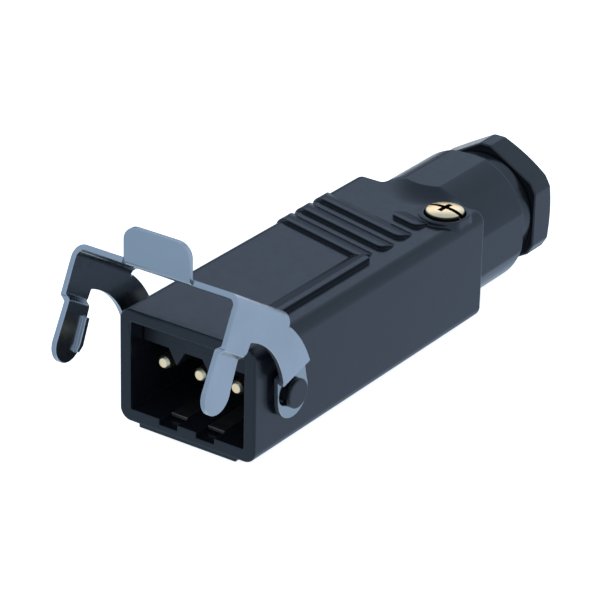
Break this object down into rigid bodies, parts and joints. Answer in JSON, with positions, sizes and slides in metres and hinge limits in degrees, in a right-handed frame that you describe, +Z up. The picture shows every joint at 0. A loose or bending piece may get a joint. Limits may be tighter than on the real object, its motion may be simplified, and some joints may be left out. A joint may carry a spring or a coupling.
{
  "type": "rectangular cable plug with locking clip",
  "caption": "Rectangular cable plug with round contact pins in a recessed mating face, a cable gland with a hexagon nut, and a folded metal clip that swings on side pivots to lock the joint.",
  "frame": {"origin": "centre of the mating opening, in the plane of its rim", "axes": "+Y along the plug from the mating face to the cable gland, +Z up towards the ribbed face and the strap of the clip, +X to the side of the retaining screw"},
  "size_m": [0.0336, 0.1143, 0.0426],
  "materials": {
    "shell_plastic": "satin moulded, near black with a blue cast",
    "insert_plastic": "satin moulded, near black",
    "nut_plastic": "satin moulded, near black with a blue cast",
    "contact_metal": "plated, satin, pale gold",
    "screw_metal": "passivated, bright pale gold",
    "earth_metal": "tin plated, satin, dulled",
    "clip_metal": "bright rolled sheet",
    "seal_rubber": "matt"
  },
  "bodies": {
    "plug_body": {"housing": "shell_plastic", "contact_insert": "insert_plastic", "contact_pin_left": "contact_metal", "contact_pin_centre": "contact_metal", "contact_pin_right": "contact_metal", "wire_guard_left": "earth_metal", "wire_guard_centre": "earth_metal", "wire_guard_right": "earth_metal", "terminal_screw_left": "earth_metal", "terminal_screw_centre": "earth_metal", "terminal_screw_right": "earth_metal", "earth_contact": "earth_metal", "earth_clamp_washer": "earth_metal", "earth_terminal_screw": "earth_metal", "retaining_screw": "screw_metal", "gland_seal": "seal_rubber"},
    "clip": {"locking_clip": "clip_metal"},
    "gland_ring": {"thrust_ring": "shell_plastic"},
    "gland_cap": {"gland_nut": "nut_plastic"}
  },
  "joints": [
    {"name": "clip_swing", "type": "hinge", "parent": "plug_body", "child": "clip", "pos_m": [0, 0.0085, 0.0003], "axis": [1, 0, 0], "range_deg": [-45, 32]},
    {"name": "gland_slide", "type": "slide", "parent": "plug_body", "child": "gland_ring", "axis": [0, 1, 0], "range_m": [0, 0.003]},
    {"name": "gland_turn", "type": "hinge", "parent": "gland_ring", "child": "gland_cap", "pos_m": [0, 0.095, 0], "axis": [0, 1, 0], "range_deg": [0, 720]}
  ],
  "couplings": [
    {"joint": "gland_turn", "follows": "gland_slide", "rad_per_m": 4188.8}
  ]
}
